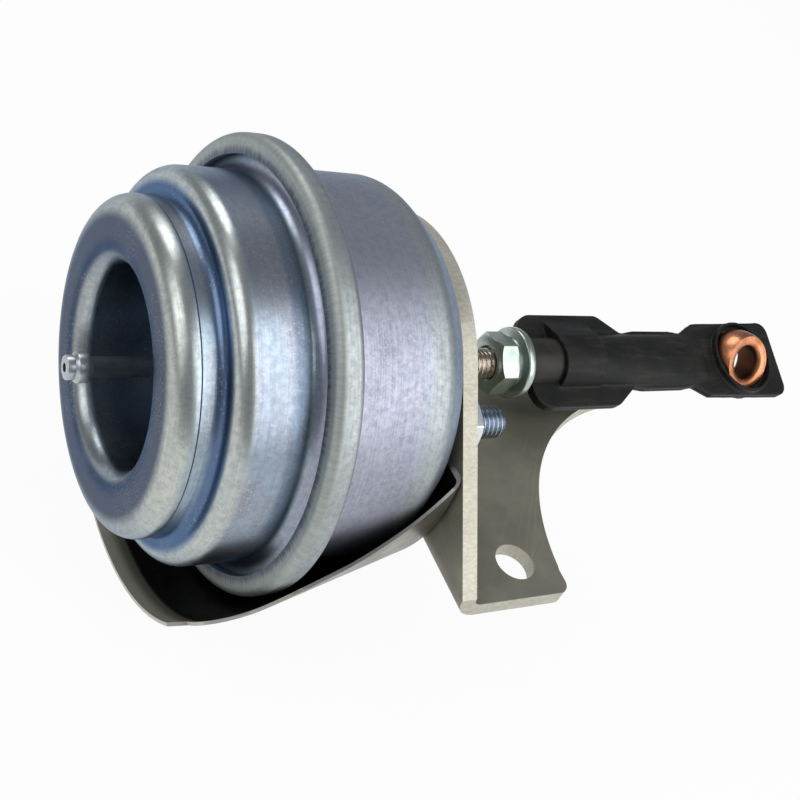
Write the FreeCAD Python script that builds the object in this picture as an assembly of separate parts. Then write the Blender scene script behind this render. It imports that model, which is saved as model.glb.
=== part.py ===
import FreeCAD, Part
import math
import os

V = FreeCAD.Vector
X = V(1, 0, 0)

# Vacuum actuator for a turbocharger lever, in millimetres.
# X runs along the actuator's axis towards the rod end, and x = 0 is the middle of the diaphragm's rim.
# +Z is up from the bracket's leg, and the leg's near edge is on -Y.

# Canister
SHEET = 1.0
RIM_SHEET = 1.0
FLANGE_R = 33.0
FLANGE_CORNER = 1.2
CRIMP_LIP = 3.0
HOUSING_INSET = 4.3
HOUSING_REAR = 21.6
HOUSING_CORNER = 3.8
COVER_INSET = 5.2
COVER_NECK_INSET = 4.3
COVER_STEP = 13.2
COVER_FRONT = 19.7
COVER_CORNER = 3.0
COVER_FLARE = 2.0
CUP_INSET = 9.3
CUP_DEPTH = 16.5
CUP_LIP = 2.8

# Vacuum nipple
NIPPLE_R = 1.45
NIPPLE_BORE_R = 0.65
NIPPLE_BEAD_R = 2.15
NIPPLE_TIP_R = 1.7
NIPPLE_REACH = 5.9
NIPPLE_BASE_R = 4.0
NIPPLE_BASE_T = 1.0

# Diaphragm, piston and spring
RUBBER = 0.6
RIM_INSET = 1.2
PISTON_INSET = 5.8
PISTON_SHEET = 1.0
PISTON_FLOOR = 14.0
PISTON_DEPTH = 16.0
ROLL_GAP = 0.5
RETAINER_INSET = 4.0
RETAINER_T = 1.2
STOP_R = 6.5
STOP_GAP = 0.3
SPRING_INSET = 3.0
SPRING_WIRE_R = 1.2
SPRING_TURNS = 5.0
SPRING_FLAT = 0.7
SPRING_GAP = 0.1
SPRING_STEPS = 20
SEAT_T = 1.0
SEAT_WIDTH = 3.0

# Rod and guide
ROD_R = 2.5
ROD_FIT = 0.08
ROD_TIP_INSET = 2.0
SPIGOT_R = 2.0
RIVET_HEAD_R = 3.4
RIVET_HEAD_T = 0.8
RIVET_WASHER_R = 5.5
RIVET_WASHER_T = 0.8
GUIDE_R = 5.0
GUIDE_FLANGE_R = 7.5
GUIDE_FLANGE_T = 1.2
GUIDE_REACH = 1.5
GUIDE_FIT = 0.1
SEAL_R = 3.9
SEAL_T = 2.5
CLIP_R = 6.4
CLIP_T = 0.8

# Weld studs and their nuts
STUD_R = 2.5
STUD_EDGE = 7.0
STUD_TURN = 14.5
STUD_HEAD_R = 3.8
STUD_HEAD_T = 0.8
STUD_REACH = 10.7
STUD_FIT = 0.1
STUD_HOLE_FIT = 0.3
WASHER_R = 4.8
WASHER_T = 1.0
NUT_FLATS = 8.0
NUT_T = 4.0
NUT_TURN = 20.0

# Heat shield
SHIELD_T = 0.9
SHIELD_SIDE_GAP = 0.2
SHIELD_RIM_GAP = 3.0
SHIELD_FRONT = 12.5
SHIELD_CONE_END = 5.5
SHIELD_BEND = 1.3
SHIELD_BLEND = 25.0
SHIELD_HOLE_R = 7.0
SHIELD_INSET = 0.5
SHIELD_EDGE = (
    (24.5, 7.5),
    (16.0, -1.0),
    (8.5, -7.5),
    (1.5, -11.0),
    (-4.0, -16.0),
    (-9.5, -19.0),
    (-10.1, -22.5),
    (-14.5, -24.5),
)

# Bracket
PLATE_T = 2.5
PLATE_R = 24.0
PLATE_HOLE_R = 7.0
LEG_DROP = 8.0
LEG_NEAR = 40.0
LEG_FAR = 11.0
BEND_R = 1.5
NOTCH = 1.2
CRESCENT_R = 39.1
LEG_TIP = 18.3
HOLE_R = 3.2
HOLE_NEAR = (11.2, -33.6)
HOLE_FAR = (46.0, 5.1)
EAR_R = 8.2
LEG_CORNER = 2.0

# Locknut
LOCKNUT_FLATS = 9.1
LOCKNUT_HEX_T = 3.6
LOCKNUT_NECK_R = 4.4
LOCKNUT_NECK_T = 0.8
LOCKNUT_FLANGE_R = 6.0
LOCKNUT_T = 5.9
LOCKNUT_AT = 19.5
LOCKNUT_TURN = 42.4
THREAD_FIT = 0.05

# Rod end
ROD_END_TILT = 22.0
END_SHEET = 1.5
SLEEVE_R = 4.2
SLEEVE_LENGTH = 15.0
SLEEVE_FIT = 0.03
WING_HALF = 8.6
WING_LENGTH = 19.2
WING_SLOPE = 5.3
WING_CORNER = 3.4
STRAP_START = 7.0
STRAP_LENGTH = 9.0
STRAP_R = 5.4
ARM_HALF = 4.8
ARM_RINGS = ((16.0, 4.0), (25.0, 3.8), (33.0, 3.2), (39.0, 2.4), (44.0, 1.6))
EYE_START = 44.0
EYE_LENGTH = 19.4
EYE_HALF = 7.15
EYE_STEP = 3.0
EYE_CORNER = 2.2
EYE_X = 53.8
COLLAR_R = 7.0
COLLAR_HEIGHT = 2.3
BALL_R = 6.2
BALL_HALF = 3.4
BALL_FIT = 0.08
BALL_BORE_R = 3.0
BALL_ROUND = 1.6
BALL_SWIVEL = 30.0

# Places and radii that follow from the dimensions
rim_front = -RIM_SHEET / 2
rim_rear = RIM_SHEET / 2
lip_front = rim_front - SHEET - SHEET
flange_rear = rim_rear + SHEET
floor_inside = HOUSING_REAR - SHEET
cup_floor = CUP_DEPTH - COVER_FRONT
housing_r = FLANGE_R - HOUSING_INSET
cover_r = FLANGE_R - COVER_INSET
neck_r = cover_r - COVER_NECK_INSET
cup_r = neck_r - CUP_INSET
piston_r = cover_r - PISTON_INSET
retainer_r = piston_r - RETAINER_INSET
spring_r = piston_r - SPRING_INSET
shield_rear = HOUSING_REAR + SHIELD_T
plate_rear = shield_rear + PLATE_T
guide_front = floor_inside - GUIDE_FLANGE_T
piston_rear = PISTON_FLOOR + PISTON_SHEET
diaphragm_rear = piston_rear + RUBBER
retainer_rear = diaphragm_rear + RETAINER_T
stud_circle = PLATE_R - STUD_EDGE
bend_r = housing_r + SHIELD_SIDE_GAP
skirt_r = FLANGE_R + SHIELD_RIM_GAP
locknut_front = plate_rear + LOCKNUT_AT
rod_end_front_x = locknut_front + LOCKNUT_T
rod_tip = rod_end_front_x + SLEEVE_LENGTH - ROD_TIP_INSET
leg_top = -LEG_DROP
leg_under = leg_top - PLATE_T
crescent_x = plate_rear + LEG_TIP + CRESCENT_R

# The origin is midway between the bracket's two holes, on the leg's under face.
origin = V(
    plate_rear + (HOLE_NEAR[0] + HOLE_FAR[0]) / 2,
    (HOLE_NEAR[1] + HOLE_FAR[1]) / 2,
    leg_under,
)


def save(shape, node):
    moved = shape.copy()
    moved.translate(origin * -1)
    moved.exportStep("parts/" + node + ".step")


def rod(radius, start, end, y=0.0, z=0.0):
    return Part.makeCylinder(radius, end - start, V(start, y, z), X)


def ring(inner, outer, start, end, y=0.0, z=0.0):
    return rod(outer, start, end, y, z).cut(rod(inner, start - 1, end + 1, y, z))


def hexagon(flats, start, end, y=0.0, z=0.0, turn=0.0):
    corner = flats / math.sqrt(3)
    points = []
    for i in range(7):
        angle = math.radians(60 * i + turn)
        points.append(V(start, y + corner * math.cos(angle), z + corner * math.sin(angle)))
    return Part.Face(Part.makePolygon(points)).extrude(X * (end - start))


def nut_blank(flats, start, end, y=0.0, z=0.0, turn=0.0):
    """A hexagon whose corners are turned off by a 30 degree cone at both ends."""
    corner = flats / math.sqrt(3)
    face = flats / 2 - 0.1
    drop = (corner - face) * math.tan(math.radians(30))
    section = [
        (start, 0.0, 0.0),
        (start, face, 0.0),
        (start + drop, corner, 0.0),
        (end - drop, corner, 0.0),
        (end, face, 0.0),
        (end, 0.0, 0.0),
    ]
    return hexagon(flats, start, end, y, z, turn).common(turned_at(section, y, z))


def corner_arc(before, corner, after, radius):
    """The two tangent points and the middle of the arc that rounds a corner."""
    to_before = (before - corner).normalize()
    to_after = (after - corner).normalize()
    half = to_before.getAngle(to_after) / 2
    reach = radius / math.tan(half)
    middle = (to_before + to_after).normalize()
    centre = corner + middle * (radius / math.sin(half))
    return corner + to_before * reach, centre - middle * radius, corner + to_after * reach


def rounded_edges(points, closed=False):
    """Lines through (vector, radius) corners, with an arc at each corner that has a radius."""
    count = len(points)
    starts = []
    ends = []
    arcs = []
    for i in range(count):
        corner, radius = points[i]
        if radius > 0.01 and (closed or 0 < i < count - 1):
            first, middle, last = corner_arc(points[i - 1][0], corner, points[(i + 1) % count][0], radius)
            arcs.append(Part.Arc(first, middle, last).toShape())
            starts.append(first)
            ends.append(last)
        else:
            arcs.append(None)
            starts.append(corner)
            ends.append(corner)
    edges = []
    for i in range(count):
        if arcs[i] is not None:
            edges.append(arcs[i])
        if i < count - 1 or closed:
            following = starts[(i + 1) % count]
            if ends[i].distanceToPoint(following) > 1e-6:
                edges.append(Part.LineSegment(ends[i], following).toShape())
    return edges


def offset_corners(corners, distance):
    """Corners (x, r, radius) moved to the left of their path by a distance."""
    lines = []
    for (x0, r0, _), (x1, r1, _) in zip(corners, corners[1:]):
        length = math.hypot(x1 - x0, r1 - r0)
        dx, dr = (x1 - x0) / length, (r1 - r0) / length
        lines.append((x0 - dr * distance, r0 + dx * distance, dx, dr))
    moved = [(lines[0][0], lines[0][1], 0.0)]
    for i in range(1, len(lines)):
        ax, ar, adx, adr = lines[i - 1]
        bx, br, bdx, bdr = lines[i]
        cross = adx * bdr - adr * bdx
        step = ((bx - ax) * bdr - (br - ar) * bdx) / cross
        turned = math.copysign(1.0, cross)
        radius = max(corners[i][2] - turned * distance, 0.0)
        moved.append((ax + adx * step, ar + adr * step, radius))
    x1, r1, _ = corners[-1]
    dx, dr = lines[-1][2], lines[-1][3]
    moved.append((x1 - dr * distance, r1 + dx * distance, 0.0))
    return moved


def sheet_ring(corners, thickness):
    """Sheet of even thickness turned about the axis: corners are its outer face, (x, r, radius)."""
    outer = [(V(x, 0, r), radius) for x, r, radius in corners]
    inner = [(V(x, 0, r), radius) for x, r, radius in offset_corners(corners, thickness)]
    inner.reverse()
    edges = rounded_edges(outer)
    edges.append(Part.LineSegment(outer[-1][0], inner[0][0]).toShape())
    edges += rounded_edges(inner)
    edges.append(Part.LineSegment(inner[-1][0], outer[0][0]).toShape())
    return turned_face(edges)


def turned_face(edges):
    wire = Part.Wire(Part.__sortEdges__(edges))
    return Part.Face(wire).revolve(V(0, 0, 0), X, 360)


def turned(points):
    """A solid of revolution about the axis, from (x, r, radius) corners of its section."""
    return turned_face(rounded_edges([(V(x, 0, r), radius) for x, r, radius in points], True))


def turned_at(points, y, z):
    solid = turned(points)
    solid.translate(V(0, y, z))
    return solid


def vacuum_cover():
    flange = rim_front - SHEET
    corners = [
        (flange, FLANGE_R - SHEET - 0.3, 0.0),
        (flange, cover_r, COVER_FLARE),
        (-COVER_STEP, cover_r, 2.4),
        (-COVER_STEP, neck_r, 1.6),
        (-COVER_FRONT, neck_r, COVER_CORNER),
        (-COVER_FRONT, cup_r, CUP_LIP),
        (cup_floor, cup_r, 1.6),
        (cup_floor, NIPPLE_R, 0.0),
    ]
    return sheet_ring(corners, SHEET)


def lower_housing():
    corners = [
        (lip_front, FLANGE_R - CRIMP_LIP, 0.0),
        (lip_front, FLANGE_R, FLANGE_CORNER),
        (flange_rear, FLANGE_R, 1.1),
        (flange_rear, housing_r, 1.0),
        (HOUSING_REAR, housing_r, HOUSING_CORNER),
        (HOUSING_REAR, GUIDE_R + GUIDE_FIT, 0.0),
    ]
    housing = sheet_ring(corners, -SHEET)
    for y, z in stud_places():
        housing = housing.cut(rod(STUD_R + STUD_FIT, floor_inside - 1, HOUSING_REAR + 1, y, z))
    return housing


def vacuum_nipple():
    tip = -COVER_FRONT - NIPPLE_REACH
    root = cup_floor + SHEET + 1.5
    points = [
        (tip, NIPPLE_BORE_R, 0.0),
        (tip, NIPPLE_TIP_R, 0.25),
        (tip + 1.1, NIPPLE_TIP_R, 0.0),
        (tip + 1.5, NIPPLE_BEAD_R, 0.3),
        (tip + 3.1, NIPPLE_BEAD_R, 0.2),
        (tip + 3.5, NIPPLE_R, 0.0),
        (cup_floor - NIPPLE_BASE_T, NIPPLE_R, 0.0),
        (cup_floor - NIPPLE_BASE_T, NIPPLE_BASE_R, 0.3),
        (cup_floor, NIPPLE_BASE_R, 0.0),
        (cup_floor, NIPPLE_R, 0.0),
        (root, NIPPLE_R, 0.0),
        (root, NIPPLE_BORE_R, 0.0),
    ]
    return turned(points)


def diaphragm():
    """Rolling diaphragm: a clamped rim, one roll, a wall round the piston cup and a floor under it."""
    roll_outer = cover_r - SHEET - ROLL_GAP
    wall = piston_r + RUBBER
    roll_top = rim_front - 2.4
    corners = [
        (rim_front, FLANGE_R - RIM_INSET, 0.0),
        (rim_front, roll_outer, 0.7),
        (roll_top, roll_outer, 1.8),
        (roll_top, piston_r, 1.5),
        (piston_rear, piston_r, 1.2),
        (piston_rear, SPIGOT_R, 0.0),
    ]
    body = sheet_ring(corners, RUBBER)
    bead = ring(roll_outer + 2.0, FLANGE_R - RIM_INSET, rim_front, rim_rear)
    return body.fuse(bead).removeSplitter()


def piston_cup():
    corners = [
        (PISTON_FLOOR - PISTON_DEPTH, piston_r, 0.0),
        (piston_rear, piston_r, 1.2),
        (piston_rear, SPIGOT_R, 0.0),
    ]
    return sheet_ring(corners, -PISTON_SHEET)


def diaphragm_retainer():
    corners = [
        (diaphragm_rear, SPIGOT_R, 0.0),
        (diaphragm_rear, retainer_r, 0.0),
        (retainer_rear, retainer_r, 0.5),
        (retainer_rear, SPIGOT_R, 0.0),
    ]
    return turned(corners)


def spring_rise(turn, length):
    """Wire centre's height after so many turns: flat on its seat, up over itself, then open."""
    lift = 2 * SPRING_WIRE_R + SPRING_GAP
    knots = [
        (0.0, 0.0),
        (SPRING_FLAT, 0.0),
        (1.0, lift),
        (SPRING_TURNS - 1.0, length - lift),
        (SPRING_TURNS - SPRING_FLAT, length),
        (SPRING_TURNS, length),
    ]
    for (t0, x0), (t1, x1) in zip(knots, knots[1:]):
        if turn <= t1:
            return x0 + (x1 - x0) * (turn - t0) / (t1 - t0)
    return length


def return_spring():
    """Compression spring round the cup, its wire in short straight eight-sided pieces."""
    start = -COVER_FRONT + SHEET + SEAT_T + SPRING_WIRE_R
    length = PISTON_FLOOR - SPRING_WIRE_R - start
    steps = round(SPRING_TURNS * SPRING_STEPS)
    corner = SPRING_WIRE_R / math.cos(math.radians(22.5))
    sections = []
    for step in range(steps + 1):
        turn = step / SPRING_STEPS
        angle = 2 * math.pi * turn
        points = []
        for i in range(9):
            around = math.radians(45 * i + 22.5)
            x = start + spring_rise(turn, length) + corner * math.cos(around)
            r = spring_r + corner * math.sin(around)
            points.append(V(x, r * math.cos(angle), r * math.sin(angle)))
        sections.append(Part.makePolygon(points))
    return Part.makeLoft(sections, True, True)


def spring_seat():
    front = -COVER_FRONT + SHEET
    inner = spring_r - SEAT_WIDTH / 2
    outer = spring_r + SEAT_WIDTH / 2
    return ring(inner, outer, front, front + SEAT_T)


def rivet_washer():
    return ring(SPIGOT_R, RIVET_WASHER_R, PISTON_FLOOR - RIVET_WASHER_T, PISTON_FLOOR)


def stop_washer():
    return ring(ROD_R, STOP_R, retainer_rear, guide_front - STOP_GAP)


def rod_guide():
    rear = plate_rear + GUIDE_REACH
    bore = ROD_R + ROD_FIT
    points = [
        (guide_front, bore, 0.0),
        (guide_front, GUIDE_FLANGE_R, 0.4),
        (floor_inside, GUIDE_FLANGE_R, 0.0),
        (floor_inside, GUIDE_R, 0.0),
        (rear, GUIDE_R, 0.5),
        (rear, SEAL_R, 0.0),
        (rear - SEAL_T, SEAL_R, 0.0),
        (rear - SEAL_T, bore, 0.0),
    ]
    return turned(points)


def rod_seal():
    rear = plate_rear + GUIDE_REACH
    lip = ROD_R + ROD_FIT
    points = [
        (rear - SEAL_T, lip + 0.5, 0.0),
        (rear - SEAL_T, SEAL_R, 0.0),
        (rear, SEAL_R, 0.0),
        (rear, lip, 0.0),
        (rear - 0.8, lip, 0.0),
    ]
    return turned(points)


def guide_clip():
    return ring(GUIDE_R, CLIP_R, HOUSING_REAR, HOUSING_REAR + CLIP_T)


def stud_places():
    angle = math.radians(STUD_TURN)
    y = stud_circle * math.cos(angle)
    z = stud_circle * math.sin(angle)
    return [(-y, z), (y, -z)]


def stud(y, z):
    front = floor_inside - STUD_HEAD_T
    rear = plate_rear + STUD_REACH
    points = [
        (front, 0.0, 0.0),
        (front, STUD_HEAD_R, 0.2),
        (floor_inside, STUD_HEAD_R, 0.0),
        (floor_inside, STUD_R, 0.0),
        (rear - 0.6, STUD_R, 0.0),
        (rear, STUD_R - 0.6, 0.0),
        (rear, 0.0, 0.0),
    ]
    return turned_at(points, y, z)


def stud_washer(y, z):
    return ring(STUD_R + STUD_HOLE_FIT, WASHER_R, plate_rear, plate_rear + WASHER_T, y, z)


def stud_nut(y, z):
    seat = plate_rear + WASHER_T
    blank = nut_blank(NUT_FLATS, seat, seat + NUT_T, y, z, NUT_TURN)
    return blank.cut(rod(STUD_R + THREAD_FIT, seat - 1, seat + NUT_T + 1, y, z))


def heat_shield():
    """Thin sheet between housing and bracket whose skirt flares out under the canister."""
    outside = [
        (shield_rear, SHIELD_HOLE_R, 0.0),
        (shield_rear, bend_r, SHIELD_BEND + SHIELD_T),
        (-SHIELD_CONE_END, skirt_r, SHIELD_BLEND),
        (-SHIELD_FRONT, skirt_r, 0.0),
    ]
    full = sheet_ring(outside, SHIELD_T)
    flat = rod(PLATE_R - SHIELD_INSET, HOUSING_REAR, shield_rear)
    flat = flat.common(full)
    skirt = full.common(shield_trim())
    shield = skirt.fuse(flat).removeSplitter()
    for y, z in stud_places():
        shield = shield.cut(rod(STUD_R + STUD_HOLE_FIT, HOUSING_REAR - 1, shield_rear + 1, y, z))
    return shield


def shield_trim():
    """The region below the skirt's cut edge, whose (x, z) points are seen from the side."""
    reach = skirt_r + 5
    points = [V(x, -reach, z) for x, z in SHIELD_EDGE]
    points.append(V(points[-1].x, -reach, -reach))
    points.append(V(points[0].x, -reach, -reach))
    points.append(points[0])
    return Part.Face(Part.makePolygon(points)).extrude(V(0, 2 * reach, 0))


def bracket():
    """Pressed L-bracket: round-topped plate, tight bend, and a leg with a crescent and two holes."""
    part = bracket_plate().fuse([bracket_bend(), bracket_leg()]).removeSplitter()
    part = part.cut(rod(PLATE_HOLE_R, shield_rear - 1, plate_rear + 1))
    for y, z in stud_places():
        part = part.cut(rod(STUD_R + STUD_HOLE_FIT, shield_rear - 1, plate_rear + 1, y, z))
    return part


def bracket_plate():
    bend_top = leg_top + BEND_R
    span = math.hypot(LEG_NEAR, bend_top)
    tangent = math.atan2(bend_top, LEG_NEAR) + math.acos(PLATE_R / span)
    notch_y = LEG_FAR + NOTCH
    corner = V(shield_rear, -LEG_NEAR, bend_top)
    touch = V(shield_rear, -PLATE_R * math.cos(tangent), PLATE_R * math.sin(tangent))
    over = V(shield_rear, PLATE_R * math.sin(0.4), PLATE_R * math.cos(0.4))
    foot = V(shield_rear, notch_y, -math.sqrt(PLATE_R ** 2 - notch_y ** 2))
    notch_outer = V(shield_rear, notch_y, bend_top + NOTCH)
    notch_inner = V(shield_rear, LEG_FAR, bend_top + NOTCH)
    far_corner = V(shield_rear, LEG_FAR, bend_top)
    edges = [
        Part.LineSegment(corner, touch).toShape(),
        Part.Arc(touch, over, foot).toShape(),
        Part.LineSegment(foot, notch_outer).toShape(),
        Part.LineSegment(notch_outer, notch_inner).toShape(),
        Part.LineSegment(notch_inner, far_corner).toShape(),
        Part.LineSegment(far_corner, corner).toShape(),
    ]
    return Part.Face(Part.Wire(edges)).extrude(X * PLATE_T)


def bracket_bend():
    outer = BEND_R + PLATE_T
    centre = V(plate_rear + BEND_R, -LEG_NEAR, leg_top + BEND_R)
    width = LEG_NEAR + LEG_FAR
    quarter = Part.makeCylinder(outer, width, centre, V(0, 1, 0))
    quarter = quarter.cut(Part.makeCylinder(BEND_R, width, centre, V(0, 1, 0)))
    corner = Part.makeBox(outer, width, outer, centre - V(outer, 0, outer))
    return quarter.common(corner)


def bracket_leg():
    start = plate_rear + BEND_R
    ear_x = plate_rear + HOLE_FAR[0]
    ear_y = HOLE_FAR[1]
    side = [
        V(start, -LEG_NEAR, leg_under),
        V(ear_x, -LEG_NEAR, leg_under),
        V(ear_x, ear_y + EAR_R, leg_under),
        V(start, LEG_FAR, leg_under),
        V(start, -LEG_NEAR, leg_under),
    ]
    up = V(0, 0, PLATE_T)
    leg = Part.Face(Part.makePolygon(side)).extrude(up)
    leg = leg.fuse(Part.makeCylinder(EAR_R, PLATE_T, V(ear_x, ear_y, leg_under)))
    crescent = V(crescent_x, -LEG_NEAR, leg_under - 1)
    leg = leg.cut(Part.makeCylinder(CRESCENT_R, PLATE_T + 2, crescent)).removeSplitter()
    leg = round_leg_tip(leg)
    for x, y in (HOLE_NEAR, HOLE_FAR):
        leg = leg.cut(Part.makeCylinder(HOLE_R, PLATE_T + 2, V(plate_rear + x, y, leg_under - 1)))
    return leg


def round_leg_tip(leg):
    tip = V(plate_rear + LEG_TIP, -LEG_NEAR, leg_under)
    picked = []
    for edge in leg.Edges:
        ends = edge.Vertexes
        if len(ends) == 2 and all(math.hypot(v.X - tip.x, v.Y - tip.y) < 0.6 for v in ends):
            picked.append(edge)
    return leg.makeFillet(LEG_CORNER, picked)


def actuator_rod():
    head = PISTON_FLOOR - RIVET_WASHER_T - RIVET_HEAD_T
    points = [
        (head, 0.0, 0.0),
        (head, RIVET_HEAD_R, 0.5),
        (head + RIVET_HEAD_T, RIVET_HEAD_R, 0.0),
        (head + RIVET_HEAD_T, SPIGOT_R, 0.0),
        (retainer_rear, SPIGOT_R, 0.0),
        (retainer_rear, ROD_R, 0.0),
        (rod_tip - 0.6, ROD_R, 0.0),
        (rod_tip, ROD_R - 0.6, 0.0),
        (rod_tip, 0.0, 0.0),
    ]
    return turned(points)


def locknut():
    """Flanged hexagon nut, with a neck before the flange that bears on the rod end."""
    hex_end = locknut_front + LOCKNUT_HEX_T
    flange = hex_end + LOCKNUT_NECK_T
    rear = locknut_front + LOCKNUT_T
    body = nut_blank(LOCKNUT_FLATS, locknut_front, hex_end, 0, 0, LOCKNUT_TURN)
    points = [
        (hex_end - 0.5, 0.0, 0.0),
        (hex_end - 0.5, LOCKNUT_NECK_R, 0.0),
        (flange, LOCKNUT_NECK_R, 0.2),
        (flange, LOCKNUT_FLANGE_R, 0.3),
        (rear, LOCKNUT_FLANGE_R, 0.3),
        (rear, 0.0, 0.0),
    ]
    nut = body.fuse(turned(points)).removeSplitter()
    return nut.cut(rod(ROD_R + THREAD_FIT, locknut_front - 1, rear + 1))


def tilted(shape):
    """The rod end is turned about the axis, so that its eye faces its lever pin."""
    shape.rotate(V(0, 0, 0), X, ROD_END_TILT)
    return shape


def rod_end_outline():
    """Plan of both shells: wings, arm and eye, symmetrical about the axis."""
    start = rod_end_front_x
    half = [
        (start, WING_HALF, WING_CORNER),
        (start + WING_LENGTH, WING_HALF, 1.5),
        (start + WING_LENGTH + WING_SLOPE, ARM_HALF, 2.0),
        (start + EYE_START - EYE_STEP, ARM_HALF, 0.8),
        (start + EYE_START, EYE_HALF, 0.8),
        (start + EYE_START + EYE_LENGTH, EYE_HALF, EYE_CORNER),
    ]
    other = [(x, -y, radius) for x, y, radius in reversed(half)]
    corners = [(V(x, y, 0), radius) for x, y, radius in half + other]
    return Part.Face(Part.Wire(Part.__sortEdges__(rounded_edges(corners, True))))


def oval(x, half_width, height):
    ellipse = Part.Ellipse(V(x, half_width, 0), V(x, 0, height), V(x, 0, 0))
    return Part.Wire([ellipse.toShape()])


def rod_end_shell(side):
    """One pressed half of the rod end; side is 1 towards the eye's face and -1 behind."""
    start = rod_end_front_x
    plate = rod_end_outline().extrude(V(0, 0, side * END_SHEET))
    eye_x = start + EYE_X
    strap = rod(STRAP_R, start + STRAP_START, start + STRAP_START + STRAP_LENGTH)
    arm = Part.makeLoft([oval(start + x, ARM_HALF, height) for x, height in ARM_RINGS], True, True)
    collar = Part.makeCylinder(COLLAR_R, COLLAR_HEIGHT, V(eye_x, 0, 0), V(0, 0, side))
    corner = V(start, -WING_HALF, min(0, side * STRAP_R))
    half = Part.makeBox(EYE_START + EYE_LENGTH, 2 * WING_HALF, STRAP_R, corner)
    bulge = strap.fuse(arm).common(half)
    shell = plate.fuse([bulge, collar]).removeSplitter()
    shell = shell.cut(rod(SLEEVE_R + SLEEVE_FIT, start - 1, start + SLEEVE_LENGTH))
    shell = shell.cut(Part.makeSphere(BALL_R + BALL_FIT, V(eye_x, 0, 0)))
    return tilted(shell)


def rod_end_sleeve():
    start = rod_end_front_x
    return ring(ROD_R + THREAD_FIT, SLEEVE_R, start, start + SLEEVE_LENGTH)


def swivel_ball():
    """Ball with flat faces and a bore with rounded mouths, swivelled in its eye."""
    face_r = math.sqrt(BALL_R ** 2 - BALL_HALF ** 2)
    edges = rounded_edges([
        (V(BALL_HALF, 0, face_r), 0.0),
        (V(BALL_HALF, 0, BALL_BORE_R), BALL_ROUND),
        (V(-BALL_HALF, 0, BALL_BORE_R), BALL_ROUND),
        (V(-BALL_HALF, 0, face_r), 0.0),
    ])
    edges.append(Part.Arc(V(-BALL_HALF, 0, face_r), V(0, 0, BALL_R), V(BALL_HALF, 0, face_r)).toShape())
    ball = turned_face(edges)
    ball.rotate(V(0, 0, 0), V(0, 1, 0), -90)
    ball.rotate(V(0, 0, 0), X, BALL_SWIVEL)
    ball.translate(V(rod_end_front_x + EYE_X, 0, 0))
    return tilted(ball)


def main():
    os.makedirs("parts", exist_ok=True)
    save(vacuum_cover(), "vacuum_cover")
    save(lower_housing(), "lower_housing")
    save(vacuum_nipple(), "vacuum_nipple")
    save(diaphragm(), "diaphragm")
    save(piston_cup(), "piston_cup")
    save(diaphragm_retainer(), "diaphragm_retainer")
    save(return_spring(), "return_spring")
    save(spring_seat(), "spring_seat")
    save(rivet_washer(), "rivet_washer")
    save(stop_washer(), "stop_washer")
    save(rod_guide(), "rod_guide")
    save(rod_seal(), "rod_seal")
    save(guide_clip(), "guide_clip")
    for (y, z), name in zip(stud_places(), ("near", "far")):
        save(stud(y, z), "stud_" + name)
        save(stud_washer(y, z), "stud_washer_" + name)
        save(stud_nut(y, z), "stud_nut_" + name)
    save(heat_shield(), "heat_shield")
    save(bracket(), "bracket")
    save(actuator_rod(), "actuator_rod")
    save(locknut(), "locknut")
    save(rod_end_sleeve(), "rod_end_sleeve")
    save(rod_end_shell(1), "rod_end_front")
    save(rod_end_shell(-1), "rod_end_rear")
    save(swivel_ball(), "swivel_ball")


main()
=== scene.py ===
import bmesh
import bpy
import math
from mathutils import Matrix, Vector


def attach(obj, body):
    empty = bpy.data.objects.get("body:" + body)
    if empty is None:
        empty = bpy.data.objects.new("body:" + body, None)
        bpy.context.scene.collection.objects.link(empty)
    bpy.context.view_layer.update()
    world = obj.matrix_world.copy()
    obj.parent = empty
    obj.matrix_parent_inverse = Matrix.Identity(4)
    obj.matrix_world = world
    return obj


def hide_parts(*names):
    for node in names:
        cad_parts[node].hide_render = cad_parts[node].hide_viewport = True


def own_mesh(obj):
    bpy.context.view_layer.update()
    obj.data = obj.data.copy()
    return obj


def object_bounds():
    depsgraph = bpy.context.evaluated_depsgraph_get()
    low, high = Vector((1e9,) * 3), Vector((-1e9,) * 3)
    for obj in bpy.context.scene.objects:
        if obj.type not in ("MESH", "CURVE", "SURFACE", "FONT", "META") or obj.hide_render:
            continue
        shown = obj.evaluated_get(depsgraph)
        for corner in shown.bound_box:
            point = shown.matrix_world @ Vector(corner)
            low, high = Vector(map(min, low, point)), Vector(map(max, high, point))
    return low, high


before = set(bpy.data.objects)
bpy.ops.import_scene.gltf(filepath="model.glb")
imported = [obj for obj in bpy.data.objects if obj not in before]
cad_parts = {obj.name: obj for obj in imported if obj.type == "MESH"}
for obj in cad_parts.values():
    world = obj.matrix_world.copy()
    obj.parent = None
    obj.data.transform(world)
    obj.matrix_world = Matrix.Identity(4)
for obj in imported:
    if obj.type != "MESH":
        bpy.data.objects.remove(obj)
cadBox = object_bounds()
print("frame loaded:", len(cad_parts), "nodes")

mm = 0.001
axisAt = Vector((-53.6, 14.25, 10.5))  # middle of the canister's rim, in the part's frame, in mm


def place(x, y=0.0, z=0.0):
    # mm along and across the canister's axis, as metres in the part's frame
    return (axisAt + Vector((x, y, z))) * mm


def clearSelection():
    if bpy.context.mode != "OBJECT":
        bpy.ops.object.mode_set(mode="OBJECT")
    bpy.ops.object.select_all(action="DESELECT")


def choose(piece):
    clearSelection()
    piece.select_set(True)
    bpy.context.view_layer.objects.active = piece


def startEdit(piece):
    choose(piece)
    bpy.ops.object.mode_set(mode="EDIT")
    bpy.ops.mesh.select_mode(type="VERT")
    bpy.ops.mesh.select_all(action="SELECT")


def newPiece(name):
    # the primitive that was just added, with its place moved into its mesh
    bpy.ops.object.transform_apply(location=True, rotation=True, scale=True)
    piece = bpy.context.object
    piece.name = name
    piece.data.name = name
    return piece


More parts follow.
